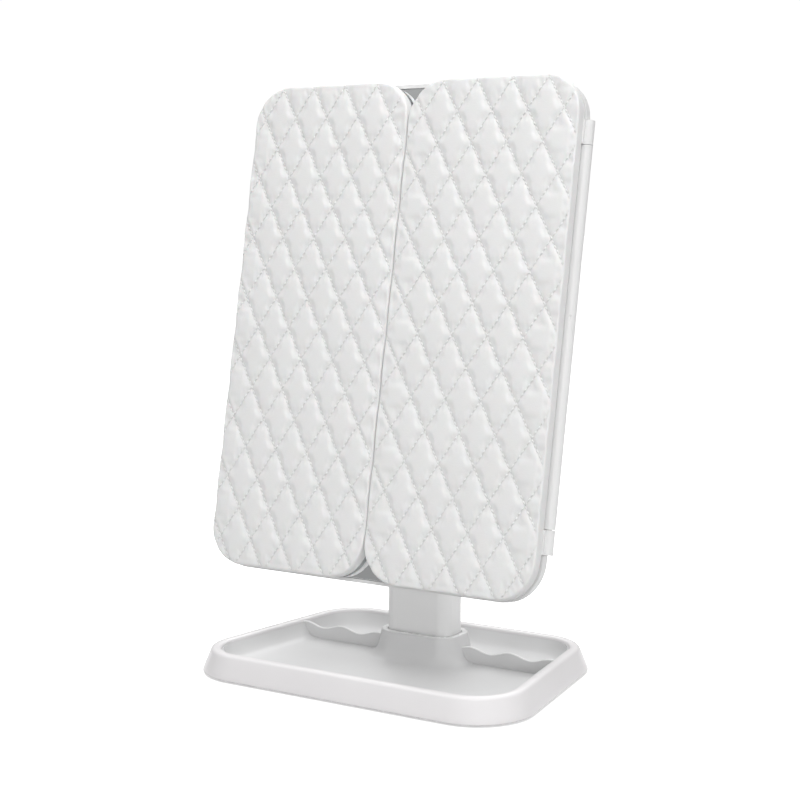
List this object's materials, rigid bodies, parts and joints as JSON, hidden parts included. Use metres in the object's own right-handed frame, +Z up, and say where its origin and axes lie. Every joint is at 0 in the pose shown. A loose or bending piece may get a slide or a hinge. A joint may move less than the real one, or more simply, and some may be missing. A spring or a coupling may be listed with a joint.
{
  "type": "lighted vanity mirror",
  "caption": "Tri-fold tabletop make-up mirror with quilted doors, built-in lights, a tilting head, a battery neck and a base tray with wavy dividers.",
  "frame": {"origin": "centre of the base, on the surface that the feet stand on", "axes": "+Z up, +X to the viewer's right, the quilted doors face -Y"},
  "size_m": [0.2284, 0.1558, 0.3492],
  "materials": {
    "white_abs": "satin moulded ABS",
    "grey_abs": "satin moulded ABS",
    "quilted_leather": "soft quilted artificial leather",
    "mirror_glass": "silvered float glass",
    "frosted_acrylic": "frosted acrylic",
    "led_board_white": "white solder mask",
    "led_lens": "clear lens over phosphor",
    "circuit_board": "green solder mask",
    "black_plastic": "moulded plastic",
    "switch_grey": "moulded plastic",
    "plain_steel": "zinc plated",
    "contact_metal": "nickel plated",
    "copper_pad": "copper foil",
    "cell_wrap": "printed film, plain",
    "foot_rubber": "matte",
    "wire_red": "insulated wire",
    "foam_grey": "thin closed-cell foam"
  },
  "bodies": {
    "base": {"base_shell": "white_abs", "tray_insert": "grey_abs", "base_bottom": "grey_abs", "ballast_plate": "plain_steel", "rubber_feet": "foot_rubber", "base_screws": "plain_steel", "neck_screws": "plain_steel", "neck_post": "white_abs", "battery_box": "black_plastic", "battery_cells": "cell_wrap", "battery_springs": "contact_metal", "battery_contacts": "contact_metal", "charge_board": "circuit_board", "usb_socket": "contact_metal"},
    "battery_lid": {"battery_door": "white_abs"},
    "head": {"tilt_bracket": "white_abs", "tilt_pin": "plain_steel", "tilt_washers": "black_plastic", "pin_caps": "white_abs", "bracket_screws": "plain_steel", "mirror_frame": "white_abs", "centre_mirror": "mirror_glass", "mirror_backing": "foam_grey", "led_boards": "led_board_white", "led_chips": "led_lens", "light_diffusers": "frosted_acrylic", "control_board": "circuit_board", "board_parts": "black_plastic", "touch_pad": "copper_pad", "frame_magnets": "contact_metal", "switch_body": "black_plastic", "head_wires": "wire_red", "back_cover": "white_abs", "back_screws": "plain_steel", "left_hinge_pins": "plain_steel", "right_hinge_pins": "plain_steel"},
    "switch_knob": {"power_switch": "switch_grey"},
    "left_door": {"left_door_shell": "white_abs", "left_door_pad": "quilted_leather", "left_door_mirror": "mirror_glass", "left_door_diffuser": "frosted_acrylic", "left_led_board": "led_board_white", "left_door_leds": "led_lens", "left_door_magnet": "contact_metal"},
    "right_door": {"right_door_shell": "white_abs", "right_door_pad": "quilted_leather", "right_door_mirror": "mirror_glass", "right_door_diffuser": "frosted_acrylic", "right_led_board": "led_board_white", "right_door_leds": "led_lens", "right_door_magnet": "contact_metal"}
  },
  "joints": [
    {"name": "head_tilt", "type": "hinge", "parent": "base", "child": "head", "pos_m": [0, 0.0247, 0.196], "axis": [-1, 0, 0], "range_deg": [-11, 75]},
    {"name": "left_door_hinge", "type": "hinge", "parent": "head", "child": "left_door", "pos_m": [-0.1111, -0.00886, 0.20233], "axis": [0, -0.1942, -0.981], "range_deg": [0, 180]},
    {"name": "right_door_hinge", "type": "hinge", "parent": "head", "child": "right_door", "pos_m": [0.1111, -0.00886, 0.20233], "axis": [0, 0.1942, 0.981], "range_deg": [0, 180]},
    {"name": "power_switch_slide", "type": "slide", "parent": "head", "child": "switch_knob", "axis": [1, 0, 0], "range_m": [0, 0.004]},
    {"name": "battery_door_pull", "type": "slide", "parent": "base", "child": "battery_lid", "axis": [0, 1, 0], "range_m": [0, 0.02]}
  ]
}
